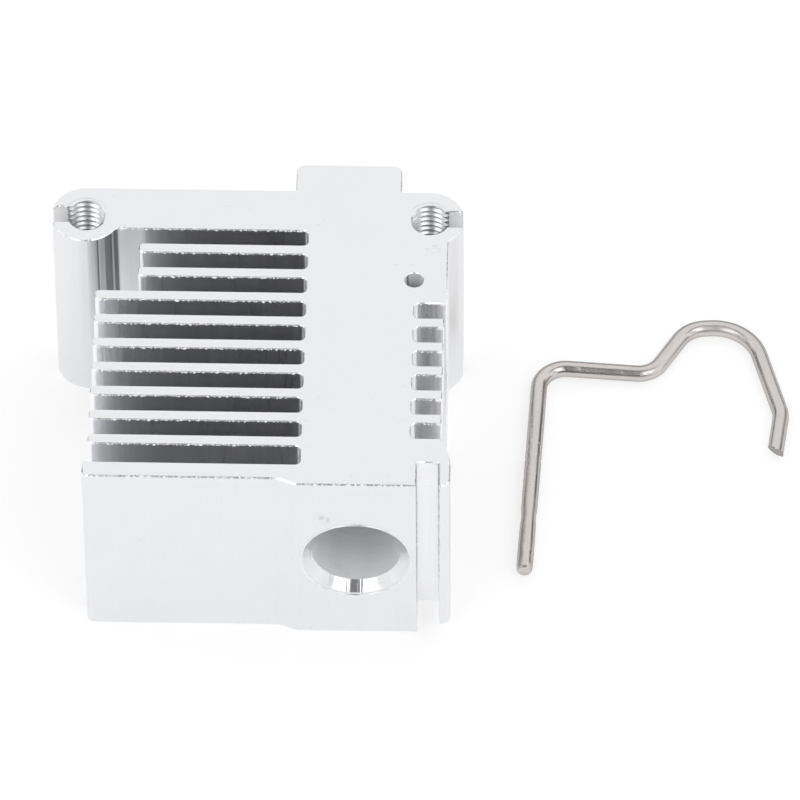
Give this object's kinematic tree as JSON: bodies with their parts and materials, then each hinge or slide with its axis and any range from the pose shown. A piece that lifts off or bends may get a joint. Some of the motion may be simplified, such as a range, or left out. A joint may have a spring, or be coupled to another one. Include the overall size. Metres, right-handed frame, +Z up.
{
  "type": "hotend heatsink with retaining clip",
  "caption": "Finned aluminium hot-end heatsink with a stepped bore, two C-shaped fan screw ports and a bent spring-wire retaining clip lying beside it.",
  "frame": {"origin": "on the flat base, under the axis of the main bore, halfway between the body's front and back faces", "axes": "+Y along the main bore towards the filament inlet tab, +Z up from the base to the fan face, +X towards the clip"},
  "size_m": [0.0517, 0.0289, 0.0162],
  "materials": {
    "machined_aluminium": "fine satin, bright natural aluminium with faint saw and extrusion marks",
    "spring_wire": "drawn spring wire, semi-bright, lightly worn at the bends"
  },
  "bodies": {
    "heatsink_body": {"heatsink": "machined_aluminium"},
    "clip_body": {"retaining_clip": "spring_wire"}
  },
  "joints": [
    {"name": "clip_lift", "type": "slide", "parent": "heatsink_body", "child": "clip_body", "axis": [0, 0, 1], "range_m": [0, 0.018]}
  ]
}
